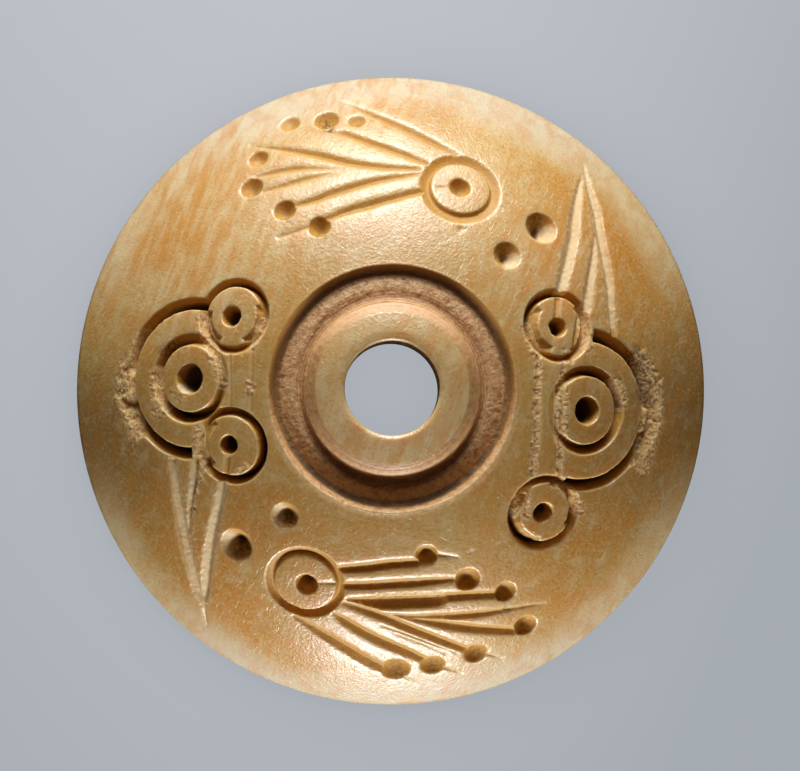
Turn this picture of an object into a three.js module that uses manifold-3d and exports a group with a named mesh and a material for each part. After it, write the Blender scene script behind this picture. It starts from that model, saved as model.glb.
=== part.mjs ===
// A bone spindle whorl: a low dome turned on a lathe, with a flat underside, a straight bore,
// and a shallow ring groove that leaves a collar round it. The dome is carved with ring-and-dot
// figures: a fan of strokes from an eye to a row of dots, near the edge on two opposite sides,
// and between them a great double ring with two small ones, above a spray of long strokes.
// Millimetres, +Z up along the bore, origin at the centre of the flat underside.

import * as THREE from 'three';
import { mergeVertices } from 'three/addons/utils/BufferGeometryUtils.js';
import Module from 'manifold-3d';

const wasm = await Module();
wasm.setup();

// The turned form: radii from the bore's axis, and heights above the underside.
const RADIUS = 14;
const DOME_RADIUS = 16.5;
const EDGE_ROUND = 0.7;
const LIP = { radius: 5.5, breadth: 0.2, fall: 0.14 };
const GROOVE = { inner: 4.02, outer: 5.1, floor: 7.26, corner: 0.1 };
const GROOVE_RIDGE = { inner: 4.36, outer: 4.68, height: 7.44, slope: 0.08 };
const COLLAR = { land: 3, shoulder: 3.4, shoulderFall: 0.12, flank: 3.95, flankFall: 0.64, top: 8.43 };
const BORE = { radius: 2.1, edgeBreak: 0.18 };
const AROUND = 60;
const DOME_STEPS = 5;

// The dome's centre lies below the underside, so that it runs smoothly into the rounded edge.
const EDGE_CENTRE = RADIUS - EDGE_ROUND;
const DOME_DROP = Math.sqrt((DOME_RADIUS - EDGE_ROUND) ** 2 - EDGE_CENTRE ** 2) - EDGE_ROUND;
const EDGE_ANGLE = Math.atan2(DOME_DROP + EDGE_ROUND, EDGE_CENTRE);

// The carving tools: a centre bit with a scribing arm, a round-nosed drill and a graver.
const ABOVE = 0.5;
const SCRIBE = { width: 0.38, depth: 0.34 };
const DEEP_SCRIBE = { width: 0.6, depth: 0.72 };
const CRUMBLED = { width: 0.7, depth: 0.3, beyond: 0.3, halfHeight: 2.2 };
const DRILL = { depth: 1.25, shoulder: 0.95, shoulderRadius: 0.55 };
const GRAVER_SLOPE = 0.75;
const RING_AROUND = 24;
const DOT_AROUND = 8;
const STROKE_STEP = 3.2;

// Where each mark stands on the dome in plan, with the radius of its ring and of its pit.
const RINGS = [
  { x: 3.12, y: 9.05, ring: 1.66, pit: 0.45 },
  { x: -3.83, y: -8.62, ring: 1.6, pit: 0.5 },
  { x: 7.48, y: 2.87, ring: 1.53, pit: 0.42 },
  { x: 6.87, y: -5.48, ring: 1.52, pit: 0.48 },
  { x: -7.05, y: 3.3, ring: 1.54, pit: 0.46 },
  { x: -7.14, y: -2.5, ring: 1.54, pit: 0.44 },
];
// A great ring has a whole inner groove, and a deep outer one that is open towards the bore.
const GREAT_RINGS = [
  { x: 8.77, y: -0.9, ring: 1.76, outer: 3.38, pit: 0.64 },
  { x: -9.0, y: 0.54, ring: 1.74, outer: 3.38, pit: 0.66 },
];
// Dots as x, y and radius: the tips of each fan, then the pairs that stand alone.
const DOTS = [
  [-4.49, 11.96, 0.42], [-2.85, 12.12, 0.52], [-1.51, 12.09, 0.36], [-5.9, 10.42, 0.42],
  [-6.2, 9.06, 0.5], [-4.72, 8.06, 0.5], [-3.18, 7.29, 0.5],
  [1.6, -7.33, 0.48], [3.44, -8.42, 0.52], [5.1, -8.94, 0.45], [6.0, -10.56, 0.52],
  [3.79, -11.77, 0.5], [1.88, -12.3, 0.5], [0.2, -12.49, 0.56],
  [6.72, 7.25, 0.74], [5.2, 6.05, 0.62], [-6.9, -6.9, 0.68], [-4.7, -5.65, 0.58],
];
// Strokes as start x, y, end x, y, then the width at each end; the finest end in a point.
const POINT = 0.02;
const STROKES = [
  [-2.2, 12.95, 3.0, 10.55, POINT, 0.34],
  [-2.6, 11.55, 1.8, 10.15, POINT, 0.36],
  [-6.2, 10.95, 1.4, 9.9, 0.2, 0.4],
  [-5.95, 9.62, -2.0, 9.93, 0.36, POINT],
  [-5.7, 8.88, -2.5, 9.75, 0.36, POINT],
  [-4.2, 8.3, 1.3, 9.75, 0.3, 0.36],
  [-2.9, 7.65, 1.4, 8.95, 0.3, 0.4],
  [-2.25, -7.88, 1.13, -7.53, 0.36, 0.2],
  [-3.3, -8.62, 2.8, -8.32, 0.3, 0.36],
  [-1.92, -9.24, 4.5, -9.0, 0.3, 0.3],
  [-0.3, -9.95, 5.6, -9.6, POINT, 0.3],
  [0.73, -10.15, 5.46, -10.6, POINT, 0.34],
  [-2.14, -9.49, 3.33, -11.48, 0.36, 0.26],
  [-2.58, -10.03, 1.54, -11.95, 0.36, 0.26],
  [-4.2, -10.03, -0.45, -12.3, 0.42, 0.36],
  [8.57, 9.6, 7.6, 4.5, POINT, 0.5],
  [9.15, 7.07, 8.75, 3.7, POINT, 0.4],
  [8.75, 9.7, 9.86, 3.4, POINT, 0.4],
  [6.63, 1.5, 6.1, -4.2, 0.26, 0.26],
  [7.77, 1.4, 7.6, -4.1, 0.26, 0.26],
  [-9.62, -3.2, -8.4, -9.44, 0.4, POINT],
  [-8.71, -3.15, -9.09, -6.39, 0.35, 0.1],
  [-7.5, -4.1, -8.28, -9.39, 0.42, 0.2],
];

function point(radius, height) {
  return new THREE.Vector2(radius, height);
}

function arc(centre, radius, from, to, steps) {
  const clockwise = from > to;
  const curve = new THREE.EllipseCurve(centre.x, centre.y, radius, radius, from, to, clockwise);
  return curve.getPoints(steps);
}

// A point standing a given height off the dome, square to it, above a place in plan.
function onDome(x, y, height) {
  const outward = new THREE.Vector3(x, y, Math.sqrt(DOME_RADIUS ** 2 - x * x - y * y));
  outward.setLength(DOME_RADIUS + height);
  outward.z -= DOME_DROP;
  return outward;
}

// A frame with its origin on the dome, +Z square to the surface and +X downhill.
function frameOnDome(x, y) {
  const up = onDome(x, y, 1).sub(onDome(x, y, 0));
  const across = new THREE.Vector3(-y, x, 0).normalize();
  const downhill = new THREE.Vector3().crossVectors(across, up);
  return new THREE.Matrix4().makeBasis(downhill, across, up).setPosition(onDome(x, y, 0));
}

function toSolid(geometry) {
  geometry.deleteAttribute('normal');
  geometry.deleteAttribute('uv');
  const merged = mergeVertices(geometry, 1e-4);
  return new wasm.Manifold(new wasm.Mesh({
    numProp: 3,
    vertProperties: new Float32Array(merged.attributes.position.array),
    triVerts: new Uint32Array(merged.index.array),
  }));
}

function toGeometry(solid) {
  const mesh = solid.getMesh();
  const geometry = new THREE.BufferGeometry();
  geometry.setAttribute('position', new THREE.BufferAttribute(mesh.vertProperties, 3));
  geometry.setIndex(new THREE.BufferAttribute(mesh.triVerts, 1));
  geometry.computeVertexNormals();
  return geometry;
}

// Turns a closed outline of radius and height about the Z axis.
function turned(outline, segments) {
  return new THREE.LatheGeometry([...outline, outline[0]], segments).rotateX(Math.PI / 2);
}

function turnedBody() {
  const edge = point(EDGE_CENTRE, EDGE_ROUND);
  const lipAngle = Math.acos(LIP.radius / DOME_RADIUS);
  const dome = arc(point(0, -DOME_DROP), DOME_RADIUS, EDGE_ANGLE, lipAngle, DOME_STEPS);
  return turned([
    point(BORE.radius, 0),
    ...arc(edge, EDGE_ROUND, -Math.PI / 2, 0, 3),
    ...dome,
    point(LIP.radius - LIP.breadth, dome.at(-1).y - LIP.fall),
    point(GROOVE.outer, GROOVE.floor + GROOVE.corner),
    point(GROOVE.outer - GROOVE.corner, GROOVE.floor),
    point(GROOVE_RIDGE.outer + GROOVE_RIDGE.slope, GROOVE.floor),
    point(GROOVE_RIDGE.outer - GROOVE_RIDGE.slope, GROOVE_RIDGE.height),
    point(GROOVE_RIDGE.inner + GROOVE_RIDGE.slope, GROOVE_RIDGE.height),
    point(GROOVE_RIDGE.inner - GROOVE_RIDGE.slope, GROOVE.floor),
    point(GROOVE.inner, GROOVE.floor),
    point(COLLAR.flank, COLLAR.top - COLLAR.flankFall),
    point(COLLAR.shoulder, COLLAR.top - COLLAR.shoulderFall),
    point(COLLAR.land, COLLAR.top),
    point(BORE.radius + BORE.edgeBreak, COLLAR.top),
    point(BORE.radius, COLLAR.top - BORE.edgeBreak),
  ], AROUND);
}

// A ring scribed round a centre on the dome: a groove with sloping sides and a narrow floor.
function ringCutter(x, y, radius, { width, depth }) {
  const sag = DOME_RADIUS - Math.sqrt(DOME_RADIUS ** 2 - radius ** 2);
  const half = width / 2;
  const flare = half * (1 + ABOVE / (2 * depth));
  return turned([
    point(radius - half / 2, -sag - depth),
    point(radius + half / 2, -sag - depth),
    point(radius + flare, ABOVE - sag),
    point(radius - flare, ABOVE - sag),
  ], RING_AROUND).applyMatrix4(frameOnDome(x, y));
}

// A drilled dot: steep walls down to a blunt point, a little deeper than its radius.
function dotCutter(x, y, radius) {
  return new THREE.LatheGeometry([
    point(0, -radius * DRILL.depth),
    point(radius * DRILL.shoulderRadius, -radius * DRILL.shoulder),
    point(radius, 0),
    point(radius, ABOVE),
    point(0, ABOVE),
  ], DOT_AROUND).rotateX(Math.PI / 2).applyMatrix4(frameOnDome(x, y));
}

// A graved stroke: a three-sided bar bent along the dome with its edge down, its width and
// depth running evenly from one end's to the other's.
function strokeCutter([x0, y0, x1, y1, width0, width1]) {
  const length = Math.hypot(x1 - x0, y1 - y0);
  const along = new THREE.Vector2((x1 - x0) / length, (y1 - y0) / length);
  const bar = new THREE.CylinderGeometry(1, 1, 1, 3, Math.ceil(length / STROKE_STEP));
  const corner = bar.attributes.position;
  for (let i = 0; i < corner.count; i += 1) {
    const run = corner.getY(i) + 0.5;
    const width = THREE.MathUtils.lerp(width0, width1, run);
    const depth = width * GRAVER_SLOPE;
    const height = corner.getZ(i) > 0 ? -depth : ABOVE;
    const flare = 1 + ABOVE / depth;
    const side = (corner.getX(i) / Math.cos(Math.PI / 6)) * (width / 2) * flare;
    const x = x0 + along.x * length * run - along.y * side;
    const y = y0 + along.y * length * run + along.x * side;
    corner.setXYZ(i, ...onDome(x, y, height));
  }
  return bar;
}

// The half of a ring that turns away from the bore, no taller than twice its half height.
function outerHalf(ring, { x, y }, halfHeight) {
  const size = RADIUS;
  const block = new THREE.BoxGeometry(size, 2 * halfHeight, size);
  block.translate(x + (Math.sign(x) * size) / 2, y, size / 2);
  return toSolid(ring).intersect(toSolid(block));
}

// The deep outer groove of a great ring, and the crumbled edge beyond it.
function greatCutters(great) {
  const beyond = great.outer + CRUMBLED.beyond;
  return [
    outerHalf(ringCutter(great.x, great.y, great.outer, DEEP_SCRIBE), great, RADIUS),
    outerHalf(ringCutter(great.x, great.y, beyond, CRUMBLED), great, CRUMBLED.halfHeight),
  ];
}

function allCutters() {
  const centred = [...RINGS, ...GREAT_RINGS];
  const rings = centred.map(({ x, y, ring }) => ringCutter(x, y, ring, SCRIBE));
  const pits = centred.map(({ x, y, pit }) => dotCutter(x, y, pit));
  const dots = DOTS.map((dot) => dotCutter(...dot));
  const strokes = STROKES.map(strokeCutter);
  const single = [...rings, ...pits, ...dots, ...strokes].map(toSolid);
  return [...single, ...GREAT_RINGS.flatMap(greatCutters)];
}

const bone = new THREE.MeshStandardMaterial({ color: 0xd9b87c, roughness: 0.42, metalness: 0 });

const carved = toSolid(turnedBody()).subtract(wasm.Manifold.union(allCutters()));
const whorl = new THREE.Mesh(toGeometry(carved), bone);
whorl.name = 'whorl';

const part = new THREE.Group();
part.add(whorl);

export default part;
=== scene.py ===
import itertools
import math
from typing import NamedTuple

import bpy
import numpy as np
from bpy.props import FloatProperty, FloatVectorProperty, IntProperty, PointerProperty
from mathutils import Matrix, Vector


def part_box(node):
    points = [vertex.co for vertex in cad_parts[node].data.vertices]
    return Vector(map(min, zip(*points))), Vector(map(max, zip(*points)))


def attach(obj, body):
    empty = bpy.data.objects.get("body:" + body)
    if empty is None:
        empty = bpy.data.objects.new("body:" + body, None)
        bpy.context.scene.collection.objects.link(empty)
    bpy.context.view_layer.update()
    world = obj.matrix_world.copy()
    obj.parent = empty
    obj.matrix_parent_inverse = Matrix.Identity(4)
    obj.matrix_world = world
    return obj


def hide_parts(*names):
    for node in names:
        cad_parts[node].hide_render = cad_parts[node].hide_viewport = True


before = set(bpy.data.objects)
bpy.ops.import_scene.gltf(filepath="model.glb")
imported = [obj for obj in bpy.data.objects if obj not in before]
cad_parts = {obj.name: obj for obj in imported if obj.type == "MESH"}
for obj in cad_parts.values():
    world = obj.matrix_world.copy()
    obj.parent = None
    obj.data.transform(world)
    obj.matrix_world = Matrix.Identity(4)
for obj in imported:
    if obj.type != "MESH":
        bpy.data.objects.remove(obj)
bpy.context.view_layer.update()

bl_info = {
    "name": "Bone Spindle Whorl",
    "version": (1, 0, 0),
    "blender": (4, 5, 0),
    "location": "3D View > Sidebar > Whorl",
    "description": "Turns and carves a bone spindle whorl, and sets it on a pale table",
    "category": "Add Mesh",
}

NODE = "whorl"
WHORL = "carved_whorl"
BODY = "root"
MM = 0.001
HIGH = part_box(NODE)[1]
TURN = 2 * math.pi

# The camera, in millimetres: how far it stands off, the height at which places look true to
# scale, and how its line of sight leans along X and along Y.
LENS = 1000
SENSOR = 36
VIEW_WIDTH = 35.71
CAMERA_AWAY = LENS * VIEW_WIDTH / SENSOR
TRUE_HEIGHT = 1.2
LEAN_X = math.radians(0.57)
LEAN_Y = math.radians(0.97)


# --- the carving: every mark's place in plan as the leaning camera sees it, with sizes along the
# surface, in millimetres ---


class Ring(NamedTuple):
    """A scribed ring: a groove from an inner to an outer radius round a centre, deepest at a
    share of its width from the inside, and deeper on the side that it leans toward. It runs
    from a first to a last angle in degrees, and its edges stray by its rag."""

    x: float
    y: float
    inner: float
    outer: float
    depth: float
    share: float = 0.4
    lean: float = 0.0
    toward: float = 0.0
    first: float = -180.0
    last: float = 180.0
    rag: float = 0.007


class Dot(NamedTuple):
    """A drilled dot: a cone if its bore is 1, a bowl at 2 and straight-walled far above, with
    its mouth worn away more the higher its wear is."""

    x: float
    y: float
    radius: float
    depth: float
    bore: float = 2.0
    wear: float = 1.0


class Patch(NamedTuple):
    """A straight run with round ends where the bone is filled, gritty, soiled or painted with
    shadow, and how strongly."""

    x0: float
    y0: float
    x1: float
    y1: float
    radius: float
    strength: float = 1.0


class Break(NamedTuple):
    """A crumbled edge beyond a ring between two angles in degrees: deepest at its inner radius,
    and running out at its outer one."""

    x: float
    y: float
    inner: float
    outer: float
    depth: float
    first: float
    last: float


RINGS = (
    Ring(3.12, 9.06, 1.30, 1.88, 0.22, 0.25, 0.15, 90),
    Ring(-3.83, -8.60, 1.38, 1.84, 0.26, 0.35, 0.2, -90),
    Ring(7.49, 2.91, 1.30, 1.70, 0.50, 0.30, 0.3, 100),
    Ring(7.49, 2.91, 0.95, 1.66, 0.30, 0.60, first=135, last=258, rag=0.03),
    Ring(7.49, 2.91, 1.12, 1.70, 0.30, 0.55, first=-65, last=50, rag=0.03),
    Ring(6.87, -5.44, 1.36, 1.78, 0.55, 0.35, 0.35, -80),
    Ring(6.87, -5.44, 1.12, 1.78, 0.34, 0.55, first=130, last=262, rag=0.03),
    Ring(6.87, -5.44, 1.20, 1.74, 0.34, 0.55, first=-30, last=80, rag=0.04),
    Ring(-7.03, 3.34, 1.34, 1.74, 0.50, 0.35, 0.4, 100),
    Ring(-7.03, 3.34, 1.02, 1.66, 0.26, 0.55, first=165, last=245, rag=0.04),
    Ring(-7.03, 3.34, 1.10, 1.66, 0.26, 0.55, first=-70, last=25, rag=0.04),
    Ring(-7.14, -2.46, 1.34, 1.78, 0.58, 0.35, 0.45, -30),
    Ring(-7.14, -2.46, 1.08, 1.70, 0.28, 0.55, first=120, last=230, rag=0.04),
    Ring(8.77, -0.88, 1.52, 2.02, 0.62, 0.30, 0.85, 0),
    Ring(-8.99, 0.55, 1.48, 2.02, 0.62, 0.35, 0.8, 205),
    Ring(8.77, -0.88, 3.08, 3.68, 0.85, 0.40, first=-107, last=85, rag=0.01),
    Ring(-8.99, 0.55, 3.06, 3.64, 0.85, 0.40, first=76, last=272, rag=0.01),
)

DOTS = (
    Dot(3.10, 9.08, 0.50, 0.50, 2.0),
    Dot(-3.75, -8.65, 0.52, 0.66, 2.4),
    Dot(7.47, 2.84, 0.43, 0.95, 3.5),
    Dot(6.81, -5.46, 0.48, 0.95, 3.0),
    Dot(8.79, -0.88, 0.64, 1.35, 4.0),
    Dot(-7.10, 3.33, 0.46, 1.05, 3.5),
    Dot(-7.24, -2.42, 0.44, 1.05, 4.0),
    Dot(-8.99, 0.55, 0.69, 1.35, 4.0),
    Dot(-4.49, 11.92, 0.54, 0.26, 2.0, 1.5),
    Dot(-2.86, 12.08, 0.60, 0.38, 2.0, 1.1),
    Dot(-1.51, 12.04, 0.46, 0.22, 2.0, 1.5),
    Dot(-5.90, 10.36, 0.50, 0.34, 2.0, 1.2),
    Dot(-6.20, 9.06, 0.56, 0.46, 1.6),
    Dot(-4.72, 8.06, 0.54, 0.52, 1.5),
    Dot(-3.18, 7.33, 0.54, 0.54, 1.5),
    Dot(1.61, -7.37, 0.54, 0.52, 1.7),
    Dot(3.44, -8.43, 0.60, 0.48, 1.8),
    Dot(5.12, -8.98, 0.52, 0.48, 1.8),
    Dot(6.00, -10.49, 0.58, 0.48, 1.8),
    Dot(3.79, -11.74, 0.58, 0.42, 1.9),
    Dot(1.88, -12.26, 0.60, 0.40, 1.9),
    Dot(0.21, -12.44, 0.70, 0.42, 1.9),
    Dot(6.73, 7.29, 0.78, 0.98, 1.0),
    Dot(5.21, 6.06, 0.66, 0.82, 1.0),
    Dot(-6.88, -6.89, 0.78, 0.86, 1.1),
    Dot(-4.71, -5.61, 0.64, 0.66, 1.1),
    Dot(3.12, 7.22, 0.20, 0.06),
)

# Strokes: how worn the edges are, then x, y and width at each point of the graver's path.
STROKES = (
    (0.06, ((-2.2, 12.95, 0.05), (-1.0, 12.42, 0.34), (0.0, 12.0, 0.44), (1.0, 11.55, 0.46),
            (2.0, 11.05, 0.42), (2.95, 10.58, 0.24))),
    (0.06, ((-4.0, 11.85, 0.08), (-2.7, 11.58, 0.14), (-2.0, 11.48, 0.38), (-1.0, 11.12, 0.46),
            (0.0, 10.80, 0.44), (0.8, 10.50, 0.40), (1.6, 10.18, 0.28))),
    (0.06, ((-6.25, 10.95, 0.08), (-5.0, 10.82, 0.28), (-4.0, 10.68, 0.42), (-3.0, 10.48, 0.48),
            (-2.0, 10.24, 0.46), (-1.0, 10.08, 0.42), (0.0, 9.98, 0.36), (1.3, 9.92, 0.22))),
    (0.08, ((-6.0, 9.58, 0.20), (-5.0, 9.82, 0.38), (-4.2, 9.94, 0.40), (-3.7, 9.96, 0.26),
            (-2.2, 9.90, 0.08))),
    (0.08, ((-5.7, 8.92, 0.22), (-4.8, 9.18, 0.32), (-4.0, 9.42, 0.34), (-3.2, 9.60, 0.22),
            (-2.4, 9.75, 0.08))),
    (0.05, ((-4.3, 8.28, 0.26), (-3.5, 8.50, 0.40), (-2.5, 8.86, 0.46), (-1.5, 9.17, 0.44),
            (-0.5, 9.42, 0.38), (0.5, 9.58, 0.28), (1.35, 9.70, 0.14))),
    (0.05, ((-3.0, 7.62, 0.32), (-2.0, 8.02, 0.44), (-1.0, 8.30, 0.50), (0.0, 8.58, 0.48),
            (1.0, 8.83, 0.44), (1.45, 8.92, 0.40))),
    (0.08, ((-3.7, 7.30, 0.20), (-5.0, 6.86, 0.16))),
    (0.04, ((3.0, 9.10, 0.12), (2.1, 9.08, 0.10))),
    (0.04, ((-2.3, -7.98, 0.46), (-1.0, -7.88, 0.56), (0.0, -7.76, 0.56),
            (1.2, -7.68, 0.52))),
    (0.03, ((2.1, -7.34, 0.24), (2.95, -7.42, 0.10))),
    (0.03, ((-3.3, -8.60, 0.14), (-2.2, -8.60, 0.20))),
    (0.04, ((-2.1, -8.72, 0.50), (-1.0, -8.70, 0.52), (0.0, -8.64, 0.54), (1.0, -8.58, 0.52),
            (2.0, -8.50, 0.46), (2.8, -8.44, 0.30))),
    (0.02, ((-1.9, -9.32, 0.20), (-0.8, -9.44, 0.70), (0.0, -9.46, 0.84), (1.0, -9.42, 0.84),
            (2.1, -9.36, 0.76), (2.4, -9.28, 0.60))),
    (0.03, ((2.3, -9.24, 0.56), (3.2, -9.18, 0.54), (4.7, -9.12, 0.50))),
    (0.03, ((-0.2, -9.98, 0.14), (1.0, -10.12, 0.34), (2.0, -10.10, 0.40),
            (3.0, -10.06, 0.44), (4.0, -9.98, 0.44), (5.0, -9.83, 0.32),
            (6.9, -9.48, 0.06))),
    (0.03, ((0.7, -10.18, 0.14), (2.0, -10.38, 0.46), (3.0, -10.54, 0.56), (4.0, -10.66, 0.58),
            (5.5, -10.75, 0.52))),
    (0.03, ((-2.1, -9.50, 0.24), (-1.0, -9.87, 0.46), (0.0, -10.25, 0.52),
            (1.0, -10.67, 0.54), (2.0, -11.07, 0.54), (3.4, -11.58, 0.44))),
    (0.02, ((-0.42, -10.46, 0.08), (1.3, -11.10, 0.14), (3.04, -11.74, 0.06))),
    (0.02, ((0.2, -10.84, 0.06), (1.2, -11.22, 0.10), (2.6, -11.78, 0.06))),
    (0.03, ((-2.5, -9.98, 0.26), (-2.0, -10.32, 0.50), (-1.0, -10.92, 0.60),
            (0.0, -11.38, 0.62), (1.0, -11.80, 0.56), (1.5, -12.02, 0.48))),
    (0.04, ((-4.3, -10.08, 0.20), (-3.0, -10.90, 0.54), (-2.0, -11.50, 0.64),
            (-1.0, -12.10, 0.66), (-0.4, -12.38, 0.56))),
    (0.02, ((0.5, -12.70, 0.20), (1.15, -13.08, 0.06))),
    (0.02, ((2.3, -12.36, 0.24), (3.2, -12.60, 0.05))),
    (0.02, ((4.2, -11.76, 0.22), (4.95, -11.92, 0.05))),
    (0.02, ((3.5, -7.20, 0.06), (3.75, -7.16, 0.05))),
    (0.03, ((8.57, 9.65, 0.04), (8.42, 9.0, 0.32), (8.26, 8.0, 0.54), (8.17, 7.0, 0.62),
            (7.96, 6.0, 0.62), (7.71, 5.0, 0.58), (7.60, 4.5, 0.56))),
    (0.04, ((7.46, 4.05, 0.40), (7.40, 3.2, 0.34))),
    (0.03, ((9.15, 7.07, 0.05), (9.07, 6.0, 0.34), (8.93, 5.0, 0.46), (8.78, 4.0, 0.52),
            (8.74, 3.7, 0.50))),
    (0.02, ((8.46, 3.6, 0.30), (8.30, 2.5, 0.32), (8.10, 1.3, 0.24))),
    (0.03, ((8.60, 10.15, 0.05), (8.9, 9.0, 0.40), (9.2, 8.0, 0.52), (9.37, 7.0, 0.56),
            (9.57, 6.0, 0.54), (9.75, 5.0, 0.46), (9.83, 4.0, 0.40), (9.9, 3.0, 0.34),
            (9.95, 2.45, 0.30))),
    (0.03, ((6.62, 1.6, 0.26), (6.52, 0.0, 0.26), (6.58, -1.0, 0.26), (6.52, -2.0, 0.26),
            (6.42, -3.0, 0.24), (6.34, -3.9, 0.22), (6.08, -4.7, 0.20), (6.04, -5.6, 0.18))),
    (0.03, ((7.76, 1.85, 0.18), (7.68, 0.4, 0.24), (7.66, -1.6, 0.26), (7.60, -2.6, 0.24),
            (7.50, -4.05, 0.22))),
    (0.04, ((-9.76, -3.1, 0.42), (-9.62, -4.0, 0.44), (-9.50, -5.0, 0.52), (-9.33, -6.0, 0.62),
            (-9.15, -7.0, 0.64), (-8.88, -8.0, 0.58), (-8.60, -9.0, 0.50), (-8.34, -9.6, 0.30),
            (-8.20, -10.5, 0.08))),
    (0.03, ((-8.72, -3.1, 0.42), (-8.80, -4.0, 0.40), (-8.95, -5.0, 0.34),
            (-9.05, -6.3, 0.16))),
    (0.03, ((-7.50, -4.15, 0.46), (-7.65, -5.0, 0.48), (-7.88, -6.0, 0.52), (-8.08, -7.0, 0.54),
            (-8.20, -8.0, 0.54), (-8.30, -9.0, 0.44), (-8.36, -9.5, 0.20))),
    (0.04, ((-7.42, -4.0, 0.34), (-7.26, -3.0, 0.32))),
    (0.06, ((-7.16, 1.6, 0.16), (-7.12, -0.8, 0.16))),
    (0.06, ((-6.16, 1.85, 0.18), (-6.20, -0.9, 0.18))),
)

# Crumbled outer edges of the great rings.
BREAKS = (
    Break(8.77, -0.90, 3.40, 4.35, 0.52, -52, 42),
    Break(-9.00, 0.54, 3.40, 4.20, 0.46, 160, 236),
)

# Where a groove is part filled or was never cut deep.
FILLS = (
    Patch(11.20, -1.55, 11.30, -1.05, 0.38, 0.62),
    Patch(-11.60, 0.45, -11.60, -0.15, 0.46, 0.62),
    Patch(-10.45, 0.7, -10.45, -0.9, 0.35, 0.45),
    Patch(10.30, 0.4, 10.35, -0.3, 0.30, 0.35),
    Patch(-8.60, -1.6, -8.50, -3.2, 0.30, 0.55),
)

# Gritty bone, where the cut is crumbly and its grain shows.
GRIT = (
    Patch(6.62, 1.7, 6.52, -2.0, 0.20),
    Patch(6.52, -2.0, 6.34, -3.9, 0.20),
    Patch(6.20, -4.2, 6.04, -5.7, 0.16, 0.8),
    Patch(7.74, 1.9, 7.70, 0.4, 0.12, 0.7),
    Patch(7.68, 0.3, 7.62, -2.3, 0.30),
    Patch(7.60, -2.3, 7.50, -4.1, 0.16),
    Patch(6.05, 2.9, 6.45, 1.8, 0.28, 0.8),
    Patch(8.60, 3.5, 8.85, 2.0, 0.26, 0.8),
    Patch(5.45, -5.5, 5.95, -4.5, 0.26, 0.9),
    Patch(7.75, -4.2, 8.45, -5.3, 0.30, 0.9),
    Patch(11.25, 1.55, 11.80, 0.30, 0.34),
    Patch(11.80, 0.30, 11.85, -1.50, 0.40),
    Patch(11.40, -1.05, 11.35, -1.50, 0.30),
    Patch(11.85, -1.50, 11.25, -3.45, 0.34),
    Patch(10.15, 0.4, 10.35, -0.6, 0.30, 0.8),
    Patch(-11.75, 1.20, -11.95, -0.30, 0.40),
    Patch(-11.95, -0.30, -11.40, -2.15, 0.30),
    Patch(-11.10, 2.6, -11.75, 1.4, 0.22, 0.6),
    Patch(-10.45, 0.8, -10.40, -1.0, 0.32, 0.9),
    Patch(-8.45, 3.2, -8.25, 2.3, 0.26, 0.8),
    Patch(-5.75, 3.1, -6.15, 1.95, 0.20, 0.7),
    Patch(-8.05, 1.9, -7.50, 0.3, 0.26, 0.7),
    Patch(-6.35, 0.25, -6.30, 0.15, 0.24),
    Patch(-8.65, -1.7, -8.55, -3.9, 0.24, 0.9),
    Patch(-8.60, -3.9, -8.95, -5.6, 0.16, 0.9),
    Patch(-6.45, -3.3, -7.10, -3.8, 0.18, 0.8),
    Patch(-9.60, 0.0, -9.30, -0.3, 0.30, 0.5),
    Patch(-0.6, -9.16, 2.3, -9.08, 0.12, 0.7),
    # These weaker patches over the long rays also mark where cream is painted as their lit facets.
    Patch(8.50, 9.35, 7.65, 4.60, 0.36, 0.35),
    Patch(9.10, 6.65, 8.80, 3.80, 0.30, 0.35),
    Patch(8.75, 9.65, 9.90, 3.10, 0.32, 0.35),
    Patch(-9.70, -3.35, -8.45, -9.40, 0.36, 0.35),
    Patch(-8.75, -3.35, -9.05, -6.15, 0.26, 0.35),
    Patch(-7.55, -4.35, -8.35, -9.40, 0.34, 0.35),
)

# Dark dirt lodged in the carving, and painted shadow in the shaded halves of four big cones
# and beside the right great ring.
STAINS_AND_SHADOWS = (
    Patch(-10.15, 1.75, -9.75, 2.05, 0.22, 0.8),
    # Painted shadow: the shaded halves of four big cones.
    Patch(-6.70, -7.10, -6.60, -7.05, 0.42, 0.9),
    Patch(-4.55, -5.75, -4.50, -5.75, 0.34, 0.9),
    Patch(6.45, 7.45, 6.55, 7.50, 0.42, 0.55),
    Patch(5.05, 6.20, 5.00, 6.25, 0.34, 0.6),
    Patch(-2.95, 12.0, -2.75, 11.8, 0.30, 0.9),
    Patch(-1.50, 11.95, -1.45, 11.9, 0.16, 0.5),
    Patch(-5.85, 10.2, -5.80, 10.15, 0.14, 0.4),
    Patch(-6.20, 8.80, -6.15, 8.75, 0.30, 0.5),
    Patch(-4.66, 7.72, -4.62, 7.68, 0.22, 0.7),
    Patch(-3.15, 7.10, -3.10, 7.00, 0.28, 0.7),
    Patch(3.75, -11.85, 3.90, -11.85, 0.20, 0.45),
    Patch(6.05, -10.70, 6.15, -10.60, 0.24, 0.5),
    Patch(1.90, -12.35, 1.95, -12.35, 0.20, 0.4),
    Patch(0.15, -12.35, 0.35, -12.45, 0.26, 0.45),
    Patch(-0.5, -9.36, 2.3, -9.26, 0.05, 0.9),
    Patch(4.75, -9.2, 4.80, -9.25, 0.14, 0.7),
    Patch(5.15, -9.75, 5.20, -9.78, 0.14, 0.7),
    Patch(-6.30, -0.1, -6.28, -0.15, 0.12, 0.8),
    Patch(-8.68, -4.0, -8.80, -4.6, 0.08, 0.8),
    # Painted shadow beside the right great ring.
    Patch(11.20, 0.0, 11.35, -0.4, 0.26, 0.9),
    Patch(10.90, 1.75, 11.60, 0.25, 0.30, 0.8),
    Patch(11.60, 0.25, 11.65, -0.55, 0.24, 0.7),
)


# --- arithmetic on whole arrays ---


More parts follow.
